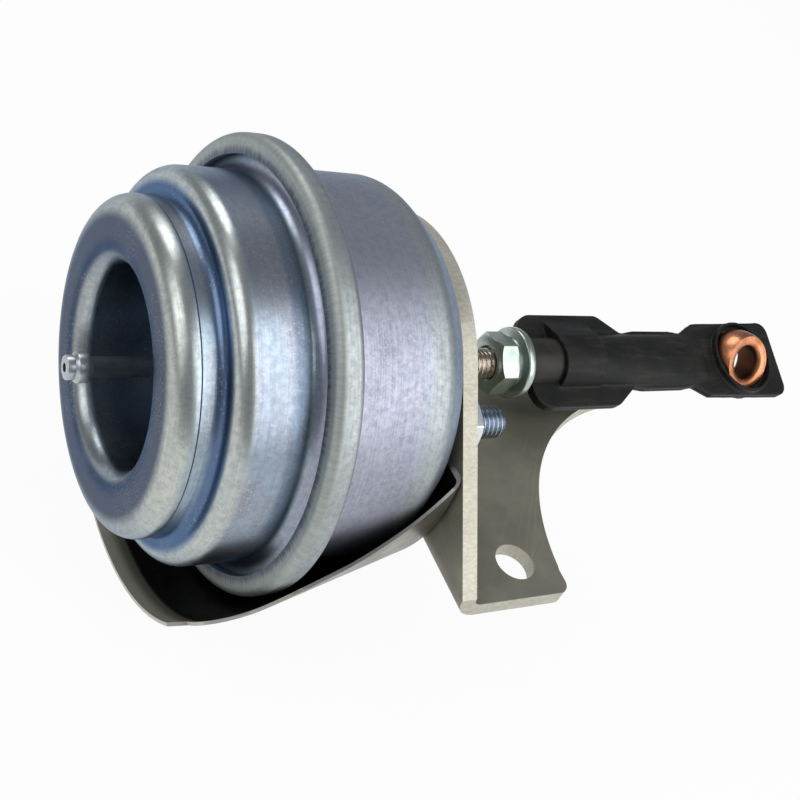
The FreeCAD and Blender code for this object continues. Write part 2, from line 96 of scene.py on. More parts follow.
def pick(piece, wanted):
    # selects the vertices whose place passes, with the edges and faces between them
    shape = bmesh.from_edit_mesh(piece.data)
    for face in shape.faces:
        face.select = False
    for edge in shape.edges:
        edge.select = False
    for vertex in shape.verts:
        vertex.select = wanted(vertex.co)
    shape.select_flush(True)
    bmesh.update_edit_mesh(piece.data)


def applyModifier(piece, kind, **settings):
    choose(piece)
    modifier = piece.modifiers.new(kind.title(), kind)
    for key, value in settings.items():
        setattr(modifier, key, value)
    bpy.ops.object.modifier_apply(modifier=modifier.name)


def carve(piece, cutter, operation="DIFFERENCE"):
    applyModifier(piece, "BOOLEAN", object=cutter, operation=operation, solver="EXACT")
    bpy.data.objects.remove(cutter)


def joinPieces(first, *others):
    choose(first)
    for other in others:
        other.select_set(True)
    bpy.ops.object.join()
    return first


def faceOutward(piece):
    startEdit(piece)
    bpy.ops.mesh.remove_doubles(threshold=1e-6)
    bpy.ops.mesh.select_all(action="SELECT")
    bpy.ops.mesh.normals_make_consistent(inside=False)
    bpy.ops.object.mode_set(mode="OBJECT")


def turnPiece(name, section, sides=160, y=0.0, z=0.0, solid=False):
    # rings drawn out one from another along x: corners are (x, radius, rounding) in mm
    clearSelection()
    x, radius = section[0][:2]
    bpy.ops.mesh.primitive_circle_add(
        vertices=sides,
        radius=radius * mm,
        fill_type="NGON" if solid else "NOTHING",
        location=place(x, y, z),
        rotation=(0, math.pi / 2, 0),
    )
    piece = newPiece(name)
    startEdit(piece)
    for nextX, nextRadius, _ in section[1:] if solid else section[1:] + section[:1]:
        bpy.ops.mesh.extrude_region_move(TRANSFORM_OT_translate={"value": ((nextX - x) * mm, 0, 0)})
        grow = nextRadius / radius
        bpy.ops.transform.resize(value=(1, grow, grow), center_override=place(nextX, y, z))
        x, radius = nextX, nextRadius
    faceOutward(piece)
    for i, corner in enumerate(section):
        if corner[2] > 0.02:
            roundRing(piece, section, i, solid, y, z)
    return piece


def roundRing(piece, section, i, solid, y, z):
    # bevels one ring of a turned piece to the corner's rounding
    x, radius, rounding = section[i]
    before = (x, 0.0) if solid and i == 0 else section[i - 1][:2]
    after = (x, 0.0) if solid and i == len(section) - 1 else section[(i + 1) % len(section)][:2]
    corner = Vector((x, radius))
    turn = (corner - Vector(before)).angle(Vector(after) - corner, 0.0)
    middle = place(x, y, z)

    def onRing(spot):
        far = math.hypot(spot.y - middle.y, spot.z - middle.z)
        return abs(spot.x - middle.x) < 2e-5 and abs(far - radius * mm) < 2e-5

    startEdit(piece)
    pick(piece, onRing)
    bpy.ops.mesh.bevel(
        offset_type="OFFSET",
        offset=rounding * math.tan(turn / 2) * mm,
        segments=max(2, min(9, round(rounding * turn * 3) + 1)),
        profile=0.5,
    )
    bpy.ops.object.mode_set(mode="OBJECT")


def sheetSection(outer, thickness):
    # the outer corners, then the inner ones at the sheet's thickness to the left of the walk
    lines = []
    for (x0, r0, _), (x1, r1, _) in zip(outer, outer[1:]):
        length = math.hypot(x1 - x0, r1 - r0)
        dx = (x1 - x0) / length
        dr = (r1 - r0) / length
        lines.append((x0 - dr * thickness, r0 + dx * thickness, dx, dr))
    inner = [(lines[0][0], lines[0][1], 0.0)]
    for corner, (ax, ar, adx, adr), (bx, br, bdx, bdr) in zip(outer[1:], lines, lines[1:]):
        cross = adx * bdr - adr * bdx
        step = ((bx - ax) * bdr - (br - ar) * bdx) / cross
        rounding = max(corner[2] - math.copysign(1.0, cross) * thickness, 0.0)
        inner.append((ax + adx * step, ar + adr * step, rounding if corner[2] > 0 else 0.0))
    x1, r1, _ = outer[-1]
    inner.append((x1 - lines[-1][3] * thickness, r1 + lines[-1][2] * thickness, 0.0))
    return outer + inner[::-1]


def tracePiece(name, corners, depth):
    # an outline walked from corner to corner, filled and drawn out, all in mm
    clearSelection()
    spots = [place(*corner) for corner in corners]
    bpy.ops.mesh.primitive_plane_add(size=mm, location=spots[0])
    piece = newPiece(name)
    startEdit(piece)
    bpy.ops.mesh.merge(type="CENTER")
    for before, after in zip(spots, spots[1:]):
        bpy.ops.mesh.extrude_vertices_move(TRANSFORM_OT_translate={"value": after - before})
    bpy.ops.mesh.select_all(action="SELECT")
    bpy.ops.mesh.edge_face_add()
    bpy.ops.mesh.extrude_region_move(TRANSFORM_OT_translate={"value": Vector(depth) * mm})
    faceOutward(piece)
    return piece


def arcSpots(centre, radius, start, end, steps):
    # spots of an arc in a plane, its angles in degrees
    spots = []
    for i in range(steps + 1):
        angle = math.radians(start + (end - start) * i / steps)
        spots.append((centre[0] + radius * math.cos(angle), centre[1] + radius * math.sin(angle)))
    return spots


def roundOutline(corners):
    # (u, v, rounding) corners of a closed outline, with an arc put in at each rounded one
    spots = []
    for i, (u, v, rounding) in enumerate(corners):
        corner = Vector((u, v))
        if rounding < 0.01:
            spots.append((u, v))
            continue
        back = (Vector(corners[i - 1][:2]) - corner).normalized()
        on = (Vector(corners[(i + 1) % len(corners)][:2]) - corner).normalized()
        half = back.angle(on) / 2
        centre = corner + (back + on).normalized() * (rounding / math.sin(half))
        first = corner + back * (rounding / math.tan(half)) - centre
        last = corner + on * (rounding / math.tan(half)) - centre
        start = math.degrees(math.atan2(first.y, first.x))
        turn = (math.degrees(math.atan2(last.y, last.x)) - start + 180) % 360 - 180
        spots += arcSpots(centre, rounding, start, start + turn, 8)
    return spots


def rodAlong(name, radius, start, end, y=0.0, z=0.0, sides=96):
    return turnPiece(name, [(start, radius, 0), (end, radius, 0)], sides, y, z, True)


def upright(name, radius, x, y, low, high):
    # a cylinder that stands square to the bracket's leg, in mm about the axis
    clearSelection()
    bpy.ops.mesh.primitive_cylinder_add(
        vertices=96, radius=radius * mm, depth=(high - low) * mm, location=place(x, y, (low + high) / 2)
    )
    return newPiece(name)


def hexPiece(name, flats, start, end, y=0.0, z=0.0, turn=0.0):
    # a hexagon with its corners turned off by a cone at each end
    clearSelection()
    corner = flats / math.sqrt(3)
    bpy.ops.mesh.primitive_cylinder_add(
        vertices=6,
        radius=corner * mm,
        depth=(end - start) * mm,
        location=place((start + end) / 2, y, z),
        rotation=(0, math.pi / 2, 0),
    )
    piece = newPiece(name)
    startEdit(piece)
    bpy.ops.transform.rotate(value=-math.radians(turn), orient_axis="X", center_override=place(start, y, z))
    bpy.ops.object.mode_set(mode="OBJECT")
    applyModifier(piece, "BEVEL", width=0.15 * mm, segments=3, limit_method="ANGLE")
    face = flats / 2 - 0.1
    drop = (corner - face) * math.tan(math.radians(30))
    clear = corner + 0.02
    section = [(start, face, 0), (start + drop, clear, 0), (end - drop, clear, 0), (end, face, 0)]
    cone = turnPiece("cone", section, 96, y, z, True)
    carve(piece, cone, "INTERSECT")
    return piece


def threadPiece(name, start, turns, radius, pitch, y=0.0, z=0.0):
    # one pitch of a thread's flank, screwed about its own line and closed at its two ends
    clearSelection()
    root = radius - 0.6 * pitch
    flank = [(0.0, root), (0.38 * pitch, radius), (0.52 * pitch, radius), (0.9 * pitch, root), (pitch, root)]
    bpy.ops.mesh.primitive_plane_add(size=0.01 * mm, location=place(start, y, z))
    piece = bpy.context.object
    piece.name = name
    startEdit(piece)
    bpy.ops.mesh.merge(type="CENTER")
    bpy.ops.transform.translate(value=(0, 0, root * mm))
    for (x0, r0), (x1, r1) in zip(flank, flank[1:]):
        step = ((x1 - x0) * mm, 0, (r1 - r0) * mm)
        bpy.ops.mesh.extrude_vertices_move(TRANSFORM_OT_translate={"value": step})
    applyModifier(
        piece,
        "SCREW",
        axis="X",
        angle=math.tau,
        screw_offset=pitch * mm,
        iterations=turns,
        steps=36,
        render_steps=36,
        use_merge_vertices=True,
        merge_threshold=1e-6,
    )
    bpy.ops.object.transform_apply(location=True, rotation=True, scale=True)
    startEdit(piece)
    bpy.ops.mesh.remove_doubles(threshold=2e-6)
    bpy.ops.mesh.select_all(action="SELECT")
    bpy.ops.mesh.fill_holes(sides=0)
    faceOutward(piece)
    return piece


def finishPiece(piece, finish, body, slot, *nodes, angle=30.0):
    choose(piece)
    bpy.ops.object.shade_smooth_by_angle(angle=math.radians(angle))
    piece.data.materials.clear()
    piece.data.materials.append(finish)
    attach(piece, body)
    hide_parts(*nodes)
    print("made", piece.name, len(piece.data.polygons), "faces")


class Signal:
    # a shader socket that takes part in sums
    def __init__(self, tree, socket):
        self.tree = tree
        self.socket = socket

    def combine(self, operation, *values):
        node = self.tree.nodes.new("ShaderNodeMath")
        node.operation = operation
        for i, value in enumerate(values):
            feed(self.tree, node.inputs[i], value)
        return Signal(self.tree, node.outputs[0])

    def __add__(self, other):
        return self.combine("ADD", self, other)

    def __radd__(self, other):
        return self.combine("ADD", other, self)

    def __sub__(self, other):
        return self.combine("SUBTRACT", self, other)

    def __rsub__(self, other):
        return self.combine("SUBTRACT", other, self)

    def __mul__(self, other):
        return self.combine("MULTIPLY", self, other)

    def __rmul__(self, other):
        return self.combine("MULTIPLY", other, self)

    def __truediv__(self, other):
        return self.combine("DIVIDE", self, other)

    def __pow__(self, other):
        return self.combine("POWER", self, other)

    def __abs__(self):
        return self.combine("ABSOLUTE", self)


def feed(tree, socket, value):
    if isinstance(value, Signal):
        tree.links.new(value.socket, socket)
    elif socket.type == "RGBA":
        socket.default_value = (*value, 1.0)
    else:
        socket.default_value = value


class Finish:
    # a material, with one method that adds its nodes
    def __init__(self, name, tree=None):
        if tree is None:
            self.material = bpy.data.materials.new(name)
            self.material.use_nodes = True
            tree = self.material.node_tree
        self.tree = tree
        self.tree.nodes.clear()

    def node(self, kind, settings, sockets, out=0):
        made = self.tree.nodes.new("ShaderNode" + kind)
        for key, value in settings.items():
            if key == "stops":
                self.setStops(made.color_ramp, value)
            else:
                setattr(made, key, value)
        for key, value in sockets.items():
            feed(self.tree, made.inputs[key], value)
        return Signal(self.tree, made.outputs[out]) if made.outputs else None

    def setStops(self, ramp, stops):
        while len(ramp.elements) < len(stops):
            ramp.elements.new(0.5)
        for element, (where, colour) in zip(ramp.elements, stops):
            element.position = where
            element.color = (*colour, 1.0)

    def spot(self):
        # the surface's place in mm about the axis
        raw = self.node("TexCoord", {}, {}, "Object")
        middle = self.node("VectorMath", {"operation": "SUBTRACT"}, {0: raw, 1: axisAt * mm})
        return self.node("VectorMath", {"operation": "SCALE"}, {0: middle, "Scale": 1000.0})

    def parts(self, vector):
        first = self.node("SeparateXYZ", {}, {0: vector})
        return [Signal(self.tree, output) for output in first.socket.node.outputs]

    def vector(self, x, y, z):
        return self.node("CombineXYZ", {}, {0: x, 1: y, 2: z})

    def noise(self, vector, scale, detail=3.0, roughness=0.55):
        sockets = {"Vector": vector, "Scale": scale, "Detail": detail, "Roughness": roughness}
        return self.node("TexNoise", {}, sockets)

    def blend(self, factor, low, high):
        return self.node("Mix", {"data_type": "RGBA"}, {0: factor, 6: low, 7: high}, 2)

    def ramp(self, value, low, high, start=0.0, end=1.0):
        # a smooth rise of a value between two levels
        sockets = {"Value": value, "From Min": low, "From Max": high, "To Min": start, "To Max": end}
        return self.node("MapRange", {"interpolation_type": "SMOOTHSTEP"}, sockets)

    def bump(self, height, strength, distance):
        sockets = {"Height": height, "Strength": strength, "Distance": distance * mm}
        return self.node("Bump", {}, sockets)

    def surface(self, **sockets):
        named = {key.replace("_", " "): value for key, value in sockets.items()}
        shader = self.node("BsdfPrincipled", {}, named)
        self.node("OutputMaterial", {}, {"Surface": shader})
        return self.material

    def round(self):
        # x, radius and the two parts of the direction about the axis
        spot = self.spot()
        x, y, z = self.parts(spot)
        radius = (y * y + z * z) ** 0.5
        return spot, x, radius, y / radius, z / radius

    def ringMask(self, x, radius, where, reach):
        # 1 on a ring at (x, radius), falling to 0 at its reach
        dx = x - where[0]
        dr = radius - where[1]
        return self.ramp((dx * dx + dr * dr) ** 0.5, reach * 0.35, reach, 1.0, 0.0)


# zinc plate on the canister: light blue, violet grey on the flats, pale olive on the roundings where the
# sheet was drawn round a corner, brightened there as a painted highlight, and deep blue in the grooves,
# darkened there as painted shade; slate and dark tints paint shade on the front face, in the cup and at the
# crimp.
# A tint is (colour, x, radius, reach, amount).
zincLook = {
    "blue": (0.38, 0.48, 0.55),
    "grey": (0.36, 0.4, 0.43),
    "violet": (0.33, 0.32, 0.42),
    "slate": (0.05, 0.07, 0.11),
    "brown": (0.25, 0.21, 0.2),
    "olive": (0.67, 0.7, 0.63),
    "deep": (0.035, 0.1, 0.25),
    "dark": (0.12, 0.14, 0.2),
    "pale": (0.75, 0.78, 0.8),
    "sheen": (0.5, 0.58, 0.7),
    "roughness": 0.33,
}
coverTints = [
    ("violet", -9.0, 27.8, 5.5, 0.3),
    # painted shade inside the deep cup
    ("dark", -9.0, 13.5, 9.0, 0.7),
    # painted shade over the front face
    ("slate", -19.7, 18.8, 6.5, 1.0),
    ("brown", -19.7, 19.4, 3.2, 0.35),
    # pale olive zinc tint, brightened as a painted highlight on the front rounding, the step rounding and the
    # cup lip
    ("olive", -18.6, 22.6, 2.9, 0.85),
    ("olive", -12.6, 27.3, 2.4, 0.75),
    ("olive", -18.8, 14.6, 1.6, 0.5),
    # deep blue zinc tint, darkened as painted shade in the step groove and by the flange corner
    ("deep", -13.4, 24.2, 1.9, 0.8),
    ("deep", -4.6, 27.9, 1.6, 0.4),
    ("violet", -2.3, 28.6, 1.0, 0.7),
    # painted shade on the flange face, in the groove by the crimped lip
    ("slate", -1.5, 30.4, 1.6, 0.8),
]
housingLook = dict(
    zincLook,
    blue=(0.47, 0.54, 0.62),
    grey=(0.44, 0.48, 0.54),
    violet=(0.44, 0.43, 0.51),
    olive=(0.47, 0.5, 0.45),
    roughness=0.5,
)
housingTints = [
    ("violet", 7.0, 28.7, 11.0, 0.7),
    ("olive", 16.4, 28.6, 3.0, 0.6),
    # painted reflection: a light blue band on the rear rounding
    ("blue", 19.6, 27.0, 1.6, 1.0),
    ("olive", 0.0, 33.0, 3.0, 0.7),
]
# short lines that the crimping rolls left across the turned-over lip; each pair is where a rise starts
# and where it is full
crimpLook = {
    "front": (-0.9, -1.6),
    "edge": (29.4, 29.9),
    # where the painted shade along the lip's inner edge starts and where it is full
    "inner": (31.4, 30.2),
    "teeth": 75.0,
    "depth": 1.2,
}


def zincFinish(name, look, tints, crimp=None):
    finish = Finish(name)
    spot, x, radius, cosine, sine = finish.round()
    along = x + radius * 0.8
    wander = finish.noise(spot, 0.07, 3.0)
    cloud = finish.noise(finish.vector(x * 0.25, cosine * 3.2, sine * 3.2), 0.9, 4.0)
    mottle = finish.noise(spot, 1.1, 4.0, 0.7)
    colour = finish.blend(finish.ramp(cloud, 0.38, 0.66), look["blue"], look["grey"])
    for tint, ringX, ringRadius, reach, amount in tints:
        ring = finish.ringMask(x, radius, (ringX, ringRadius), reach)
        mask = ring * finish.ramp(wander, 0.2, 0.5, 0.7, 1.0)
        colour = finish.blend(mask * amount, colour, look[tint])
    colour = finish.blend(finish.ramp(mottle, 0.35, 0.7, 0.0, 0.3), colour, look["dark"])
    streak = finish.noise(finish.vector(along * 5.0, cosine * 2.0, sine * 2.0), 1.0, 3.0, 0.6)
    colour = finish.blend(finish.ramp(streak, 0.3, 0.7, 0.0, 0.2), colour, look["dark"])
    speckle = finish.noise(spot, 3.4, 2.0, 0.6)
    fleck = finish.ramp(speckle, 0.56, 0.7) * finish.ramp(cloud, 0.4, 0.6)
    colour = finish.blend(fleck * 0.3, colour, look["pale"])
    rough = look["roughness"] + (streak - 0.5) * 0.12 + (cloud - 0.5) * 0.16 + (mottle - 0.5) * 0.2
    height = streak * 0.5 + fleck * 0.2 + mottle * 0.4
    if crimp:
        angle = sine.combine("ARCTAN2", sine, cosine)
        tooth = finish.noise(finish.vector(angle * crimp["teeth"], radius * 0.5, x * 0.35), 1.0, 3.0, 0.6)
        onLip = finish.ramp(x, *crimp["front"]) * finish.ramp(radius, *crimp["edge"])
        lines = finish.ramp(tooth, 0.42, 0.6) * onLip
        colour = finish.blend(onLip * 0.75, colour, look["olive"])
        # painted shade along the lip's inner edge, where it turns over the flange
        inner = finish.ramp(radius, *crimp["inner"])
        colour = finish.blend(inner * onLip * 0.5, colour, look["slate"])
        colour = finish.blend(lines * (0.15 + inner * 0.6), colour, look["dark"])
        rough = rough + onLip * 0.08
        height = height + lines * (inner + 0.2) * -crimp["depth"]
    normal = finish.bump(height, 0.35, 0.05)
    return finish.surface(
        Base_Color=colour, Metallic=1.0, Roughness=rough, Specular_Tint=look["sheen"], Normal=normal
    )


coverFinish = zincFinish("zincCover", zincLook, coverTints)
housingFinish = zincFinish("zincHousing", housingLook, housingTints, crimpLook)


def metalFinish(name, colour, dark, roughness):
    # plain metal with clouded tone, fine grain and small pits
    finish = Finish(name)
    spot = finish.spot()
    cloud = finish.noise(spot, 0.22, 4.0)
    fine = finish.noise(spot, 3.2, 3.0, 0.65)
    pit = finish.node("TexVoronoi", {}, {"Vector": spot, "Scale": 1.4})
    speck = finish.ramp(pit, 0.1, 0.02) * finish.ramp(cloud, 0.48, 0.6)
    tone = finish.blend(finish.ramp(cloud, 0.34, 0.66) * 0.8, colour, dark)
    tone = finish.blend(finish.ramp(fine, 0.45, 0.75) * 0.4, tone, dark)
    tone = finish.blend(speck * 0.6, tone, dark)
    rough = roughness + (cloud - 0.5) * 0.25 + (fine - 0.5) * 0.15
    normal = finish.bump(fine - speck, 0.4, 0.03)
    return finish.surface(Base_Color=tone, Metallic=1.0, Roughness=rough, Normal=normal)


def softFinish(name, colour, dark, roughness):
    # rubber and plastic: an even colour with a faint moulded grain
    finish = Finish(name)
    spot = finish.spot()
    cloud = finish.noise(spot, 0.3, 3.0)
    fine = finish.noise(spot, 6.0, 2.0)
    tone = finish.blend(finish.ramp(cloud, 0.35, 0.7), colour, dark)
    rough = roughness + (fine - 0.5) * 0.2
    return finish.surface(Base_Color=tone, Roughness=rough, Normal=finish.bump(fine, 0.3, 0.04))


def shieldFinish():
    # browned sheet: warm grey outside and on its cut edge; the inside is painted near black as painted shade,
    # with painted light on it in two steps towards the front rim
    finish = Finish("brownedSheet")
    spot, x, radius, cosine, sine = finish.round()
    normal = finish.node("TexCoord", {}, {}, "Normal")
    _, ny, nz = finish.parts(normal)
    outward = ny * cosine + nz * sine
    outside = finish.ramp(outward, -0.15, 0.15)
    cloud = finish.noise(spot, 0.16, 4.0)
    fine = finish.noise(spot, 2.4, 3.0, 0.6)
    streak = finish.noise(finish.vector(x * 3.0, cosine * 2.0, sine * 2.0), 1.0, 3.0)
    skin = finish.blend(finish.ramp(cloud, 0.35, 0.65), (0.33, 0.31, 0.27), (0.2, 0.19, 0.17))
    skin = finish.blend(finish.ramp(streak, 0.5, 0.8, 0.0, 0.4), skin, (0.45, 0.43, 0.38))
    # painted shade: the side of the skirt that faces the canister is near black
    paintedInsideShading = finish.blend(finish.ramp(cloud, 0.3, 0.7), (0.02, 0.018, 0.016), (0.05, 0.045, 0.04))
    cut = finish.ramp(abs(outward), 0.72, 0.45) * finish.ramp(x, 21.6, 21.2)
    # painted light: the inside grows lighter in two steps towards the front rim
    band = finish.ramp(x, -8.6, -9.4)
    paintedInsideShading = finish.blend(band * 0.8, paintedInsideShading, (0.2, 0.185, 0.15))
    paintedInsideShading = finish.blend(finish.ramp(x, -9.6, -11.6), paintedInsideShading, (0.5, 0.48, 0.41))
    # the side facing the canister takes the painted shading, the outside its own skin
    colour = finish.blend(outside, paintedInsideShading, skin)
    colour = finish.blend(cut, colour, (0.6, 0.57, 0.5))
    rough = 0.4 + (cloud - 0.5) * 0.25 + (fine - 0.5) * 0.15
    shape = finish.bump(fine + streak * 0.6, 0.4, 0.04)
    metal = 1.0 - band * 0.6
    return finish.surface(Base_Color=colour, Metallic=metal, Roughness=rough, Normal=shape)


def bracketFinish():
    # mill-finish sheet with sheared, mottled edges
    finish = Finish("millSheet")
    spot = finish.spot()
    x, y, z = finish.parts(spot)
    normal = finish.node("TexCoord", {}, {}, "Normal")
    nx, ny, nz = finish.parts(normal)
    onPlate = finish.ramp(x, 25.6, 25.0)
    plateEdge = finish.ramp(abs(nx), 0.75, 0.45)
    legEdge = finish.ramp(abs(nz), 0.75, 0.45) * finish.ramp(x, 27.5, 28.5)
    bendEdge = finish.ramp(abs(ny), 0.7, 0.9)
    allEdges = plateEdge * onPlate + legEdge + bendEdge
    edge = allEdges.combine("MINIMUM", allEdges, 1.0)
    cloud = finish.noise(spot, 0.12, 4.0)
    blotch = finish.noise(finish.vector(x * 0.35, y * 0.8, z * 0.8), 0.4, 3.0, 0.6)
    fine = finish.noise(spot, 2.8, 3.0, 0.65)
    sheet = finish.blend(finish.ramp(cloud, 0.35, 0.65), (0.3, 0.285, 0.225), (0.23, 0.22, 0.175))
    sheet = finish.blend(finish.ramp(blotch, 0.42, 0.7) * 0.5, sheet, (0.24, 0.24, 0.2))
    torn = finish.noise(finish.vector(x * 0.8, y * 1.6, z * 1.6), 1.6, 4.0, 0.7)
    sheared = finish.blend(finish.ramp(torn, 0.3, 0.7), (0.6, 0.58, 0.49), (0.46, 0.44, 0.36))
    colour = finish.blend(edge, sheet, sheared)
    rough = 0.52 + (cloud - 0.5) * 0.25 + (fine - 0.5) * 0.15
    shape = finish.bump(fine * 0.5 + torn * edge * 0.7, 0.4, 0.06)
    return finish.surface(Base_Color=colour, Metallic=0.6, Roughness=rough, Normal=shape)


shieldSkin = shieldFinish()
bracketSkin = bracketFinish()
nippleSteel = metalFinish("nippleSteel", (0.5, 0.54, 0.56), (0.3, 0.33, 0.35), 0.36)
studZinc = metalFinish("studZinc", (0.38, 0.44, 0.52), (0.2, 0.23, 0.3), 0.3)
nutZinc = metalFinish("nutZinc", (0.5, 0.57, 0.52), (0.33, 0.4, 0.35), 0.32)
brightZinc = metalFinish("brightZinc", (0.8, 0.84, 0.86), (0.66, 0.7, 0.72), 0.35)
washerZinc = metalFinish("washerZinc", (0.66, 0.7, 0.7), (0.5, 0.54, 0.55), 0.3)
rodSteel = metalFinish("rodSteel", (0.66, 0.6, 0.54), (0.4, 0.35, 0.3), 0.25)
springSteel = metalFinish("springSteel", (0.3, 0.3, 0.32), (0.18, 0.18, 0.2), 0.35)
pressedSteel = metalFinish("pressedSteel", (0.45, 0.45, 0.45), (0.3, 0.3, 0.31), 0.35)
blackRubber = softFinish("blackRubber", (0.03, 0.03, 0.032), (0.015, 0.015, 0.016), 0.6)
naturalPlastic = softFinish("naturalPlastic", (0.62, 0.6, 0.52), (0.5, 0.48, 0.42), 0.45)
guidePlastic = softFinish("guidePlastic", (0.06, 0.06, 0.062), (0.04, 0.04, 0.042), 0.5)


def blackFinish(name, dark, pale, roughness):
    # phosphated and oiled black steel, with worn brownish patches
    finish = Finish(name)
    spot = finish.spot()
    cloud = finish.noise(spot, 0.2, 4.0)
    fine = finish.noise(spot, 2.6, 4.0, 0.65)
    colour = finish.blend(finish.ramp(cloud, 0.35, 0.7), dark, pale)
    worn = finish.ramp(fine, 0.6, 0.72) * finish.ramp(cloud, 0.5, 0.62)
    colour = finish.blend(worn * 0.6, colour, (0.07, 0.06, 0.045))
    x, y, z = finish.parts(spot)
    rub = finish.noise(finish.vector(x * 0.12, y * 0.7, z * 0.7), 1.0, 3.0)
    colour = finish.blend(finish.ramp(rub, 0.48, 0.68) * 0.5, colour, (0.034, 0.032, 0.024))
    rough = roughness + (cloud - 0.5) * 0.2 + (fine - 0.5) * 0.2
    shape = finish.bump(fine, 0.35, 0.05)
    return finish.surface(Base_Color=colour, Roughness=rough, Specular_IOR_Level=0.22, Normal=shape)


blackSteel = blackFinish("blackPhosphate", (0.007, 0.008, 0.008), (0.014, 0.014, 0.012), 0.5)
sleeveSteel = blackFinish("sleeveSteel", (0.02, 0.02, 0.018), (0.04, 0.036, 0.028), 0.4)


def bronzeFinish():
    # bright rubbed bronze, dull and darkened round the bore as painted shade
    finish = Finish("ballBronze")
    spot = finish.spot()
    x, y, z = finish.parts(spot)
    lean = math.radians(rodEnd["tilt"] + ball["swivel"])
    across = y * math.cos(lean) + z * math.sin(lean)
    dx = x - rodEnd["eye"]
    # painted shade: dark round the bore's mouth
    bore = finish.ramp((dx * dx + across * across) ** 0.5, ball["bore"] + 0.7, ball["bore"] + 0.1)
    cloud = finish.noise(spot, 0.35, 4.0)
    fine = finish.noise(spot, 4.0, 3.0, 0.65)
    tone = finish.blend(finish.ramp(cloud, 0.35, 0.65), (0.7, 0.3, 0.16), (0.42, 0.165, 0.08))
    tone = finish.blend(finish.ramp(fine, 0.45, 0.75) * 0.4, tone, (0.3, 0.11, 0.05))
    tone = finish.blend(bore * 0.93, tone, (0.06, 0.022, 0.012))
    rough = 0.34 + (cloud - 0.5) * 0.2 + bore * 0.2
    return finish.surface(Base_Color=tone, Metallic=1.0, Roughness=rough, Normal=finish.bump(fine, 0.4, 0.03))


print("finishes made")

# front half of the canister, drawn in steps, with the deep cup in its face. A corner is (x, radius,
# rounding), and a hole or a disc is (radius, start, end) here and below.
cover = {
    "sheet": 1.0,
    "outer": [
        (-1.5, 31.7, 0.0),
        (-1.5, 27.8, 2.0),
        (-13.2, 27.8, 2.4),
        (-13.2, 23.4, 1.4),
        (-16.1, 23.4, 0.0),
        (-16.35, 23.6, 0.15),
        (-19.7, 23.6, 3.0),
        (-19.7, 14.2, 2.8),
        (-3.2, 14.2, 1.6),
        (-3.2, 1.45, 0.0),
    ],
}
coverShell = turnPiece("coverShell", sheetSection(cover["outer"], cover["sheet"]), 192)
finishPiece(coverShell, coverFinish, "canister", "cover", "vacuum_cover")

# rear half, whose rim is rolled over the cover's flange
housing = {
    "sheet": 1.0,
    "outer": [
        (-2.5, 30.0, 0.0),
        (-2.5, 33.0, 1.2),
        (1.5, 33.0, 1.1),
        (1.5, 28.7, 1.0),
        (17.6, 28.6, 3.0),
        (21.3, 25.8, 0.8),
        (21.3, 5.1, 0.0),
    ],
    "studTurn": 14.5,
    "studCircle": 17.0,
    "studHole": (2.6, 19.0, 23.0),
}
studTurn = math.radians(housing["studTurn"])
studY = housing["studCircle"] * math.cos(studTurn)
studZ = housing["studCircle"] * math.sin(studTurn)
studPlaces = {"near": (-studY, studZ), "far": (studY, -studZ)}
housingShell = turnPiece("housingShell", sheetSection(housing["outer"], -housing["sheet"]), 192)
for y, z in studPlaces.values():
    carve(housingShell, rodAlong("drill", *housing["studHole"], y, z, 48))
finishPiece(housingShell, housingFinish, "canister", "housing", "lower_housing")

# hose nipple on the cup's floor
nipple = [
    (-25.6, 0.65, 0.0),
    (-25.6, 1.7, 0.25),
    (-24.5, 1.7, 0.0),
    (-24.1, 2.15, 0.3),
    (-22.5, 2.15, 0.2),
    (-22.1, 1.45, 0.1),
    (-4.2, 1.45, 0.3),
    (-4.2, 4.0, 0.3),
    (-3.2, 4.0, 0.0),
    (-3.2, 1.46, 0.0),
    (-0.7, 1.46, 0.0),
    (-0.7, 0.65, 0.0),
]
nippleTube = turnPiece("nippleTube", nipple, 64)
finishPiece(nippleTube, nippleSteel, "canister", "nipple", "vacuum_nipple")
print("canister made")

# heat shield: a disc under the bracket and a skirt that flares out below the canister
shield = {
    "sheet": 0.5,
    "outer": [(22.5, 7.0, 0.0), (22.5, 28.9, 1.3), (-5.5, 36.0, 25.0), (-12.5, 36.0, 0.0)],
    "edge": [
        (24.5, 7.5),
        (16.0, -1.0),
        (8.5, -7.5),
        (1.5, -11.0),
        (-4.0, -16.0),
        (-9.5, -19.0),
        (-10.1, -22.5),
        (-14.5, -24.5),
        (-14.5, -41.0),
        (24.5, -41.0),
    ],
    "side": 41.0,
    "disc": (23.5, 21.0, 23.0),
    "studHole": (2.8, 20.0, 24.0),
}
heatShield = turnPiece("heatShield", sheetSection(shield["outer"], shield["sheet"]), 192)
trim = tracePiece("trim", [(x, -shield["side"], z) for x, z in shield["edge"]], (0, 2 * shield["side"], 0))
carve(trim, rodAlong("disc", *shield["disc"]), "UNION")
carve(heatShield, trim, "INTERSECT")
for y, z in studPlaces.values():
    carve(heatShield, rodAlong("drill", *shield["studHole"], y, z, 48))
finishPiece(heatShield, shieldSkin, "canister", "shield", "heat_shield")

